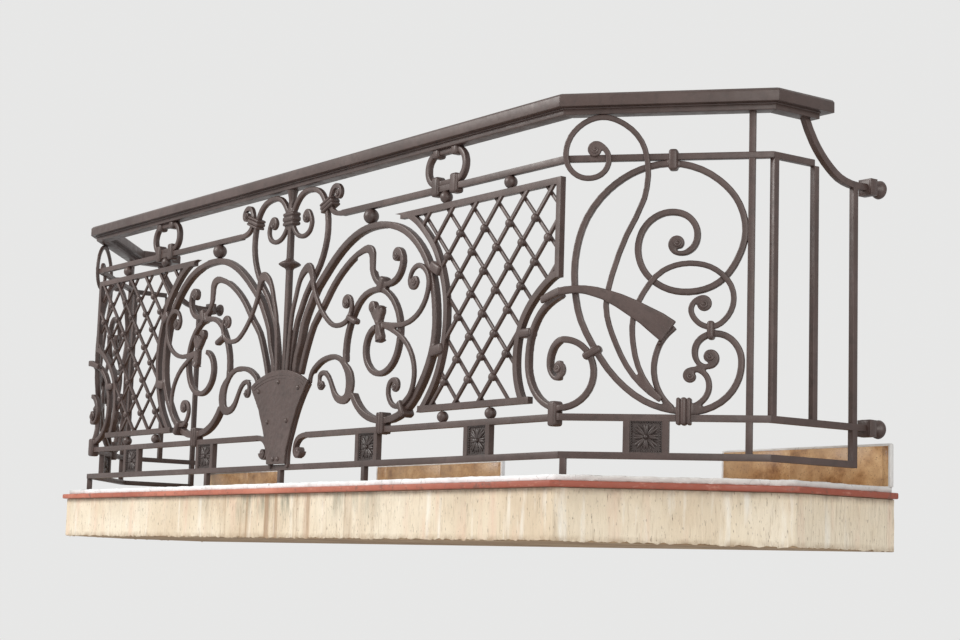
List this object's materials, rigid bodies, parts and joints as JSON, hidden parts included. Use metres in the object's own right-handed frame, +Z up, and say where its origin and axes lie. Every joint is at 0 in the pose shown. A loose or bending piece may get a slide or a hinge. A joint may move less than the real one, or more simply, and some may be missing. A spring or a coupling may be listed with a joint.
{
  "type": "wrought iron balcony with a scrollwork railing",
  "caption": "Balcony slab with canted corners and a wrought iron railing of scrolls and lattice panels under a moulded handrail, built off a facade.",
  "frame": {"origin": "middle of the slab's rear face, which lies on the wall plane", "axes": "+X along the wall to the right, -Y out of the wall, +Z up"},
  "size_m": [3.736, 0.819, 1.158],
  "materials": {
    "iron": "satin dark brown paint on forged iron",
    "render": "scratched mineral render on concrete",
    "flashing": "matt terracotta paint on sheet metal",
    "grout": "weathered white mortar strip",
    "tiles": "mottled tan tiles"
  },
  "bodies": {
    "root": {"slab": "render", "flashing": "flashing", "edge_strip": "grout", "floor_tiles": "tiles", "skirting": "tiles", "feet": "iron", "handrail_front": "iron", "handrail_bay_right": "iron", "handrail_bay_left": "iron", "handrail_return_right": "iron", "handrail_return_left": "iron", "upper_rail_front_right": "iron", "upper_rail_front_left": "iron", "upper_rail_bay_right": "iron", "upper_rail_bay_left": "iron", "upper_rail_return_right": "iron", "upper_rail_return_left": "iron", "base_frame_front": "iron", "base_frame_bay_right": "iron", "base_frame_bay_left": "iron", "base_frame_return_right": "iron", "base_frame_return_left": "iron", "rosettes": "iron", "bay_posts": "iron", "return_bars": "iron", "swoop_bar_right": "iron", "swoop_bar_left": "iron", "lattice_right": "iron", "lattice_left": "iron", "oval_rings": "iron", "link_balls": "iron", "arch_scrolls_right": "iron", "arch_scrolls_left": "iron", "flower_stalks_right": "iron", "flower_stalks_left": "iron", "bay_scrolls_right": "iron", "bay_scrolls_left": "iron", "bay_slim_scrolls_right": "iron", "bay_slim_scrolls_left": "iron", "corner_scroll_front_right": "iron", "corner_scroll_bay_right": "iron", "corner_scroll_front_left": "iron", "corner_scroll_bay_left": "iron", "crest": "iron", "shield_plate": "iron"}
  },
  "joints": []
}
